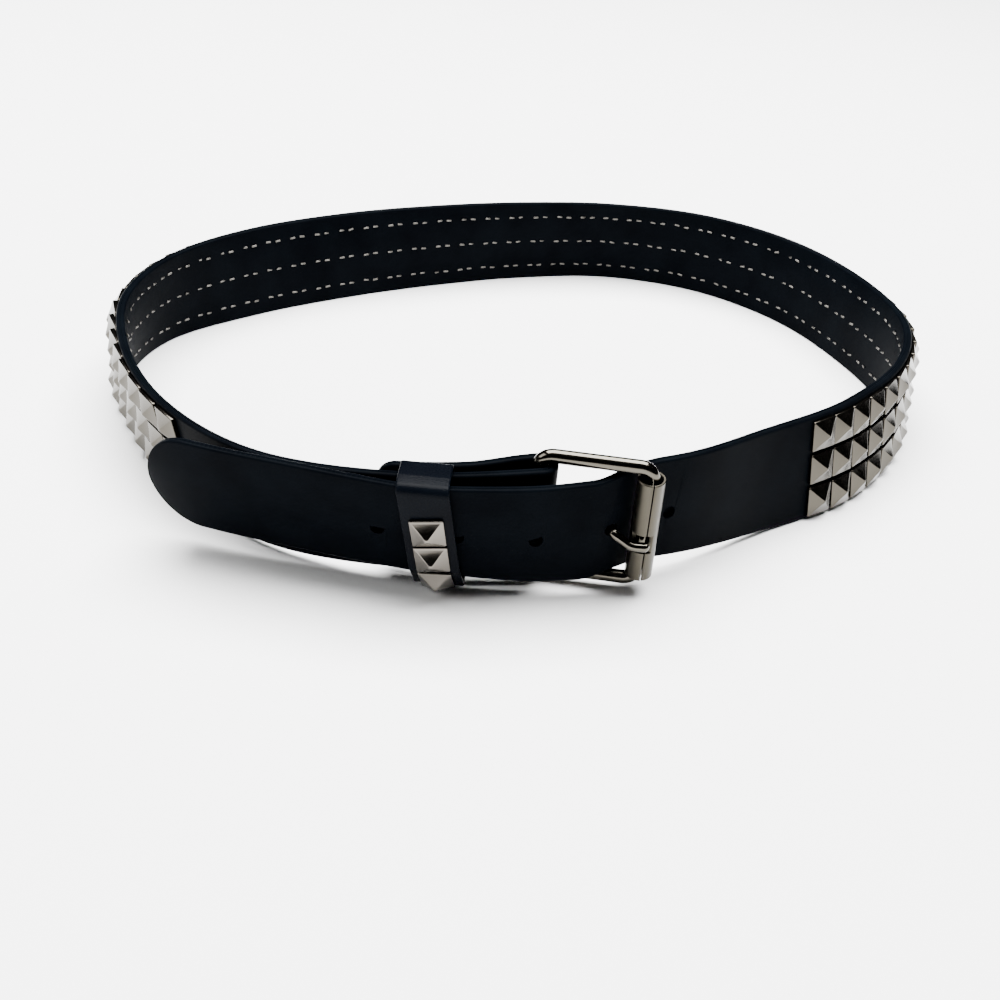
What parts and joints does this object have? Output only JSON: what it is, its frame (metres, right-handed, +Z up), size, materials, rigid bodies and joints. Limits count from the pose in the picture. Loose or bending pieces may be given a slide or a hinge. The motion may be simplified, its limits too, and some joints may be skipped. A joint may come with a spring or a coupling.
{
  "type": "studded belt",
  "caption": "Black leather belt with rows of low pyramid studs, fastened in a loop by a roller buckle and a studded keeper, standing on its edge.",
  "frame": {"origin": "under the middle of the fastened belt, on the surface that its lower edge stands on", "axes": "+X along the loop's long side, to the right as seen from the buckle; +Y from the buckle to the back of the loop; +Z up, across the strap's width"},
  "size_m": [0.3138, 0.2894, 0.0501],
  "materials": {
    "leather": "satin",
    "nickel": "polished"
  },
  "bodies": {
    "root": {"strap": "leather", "stud_field": "nickel", "keeper": "leather", "keeper_stud_1": "nickel", "keeper_stud_2": "nickel", "keeper_stud_3": "nickel", "buckle_frame": "nickel", "buckle_roller": "nickel", "buckle_prong": "nickel"}
  },
  "joints": []
}
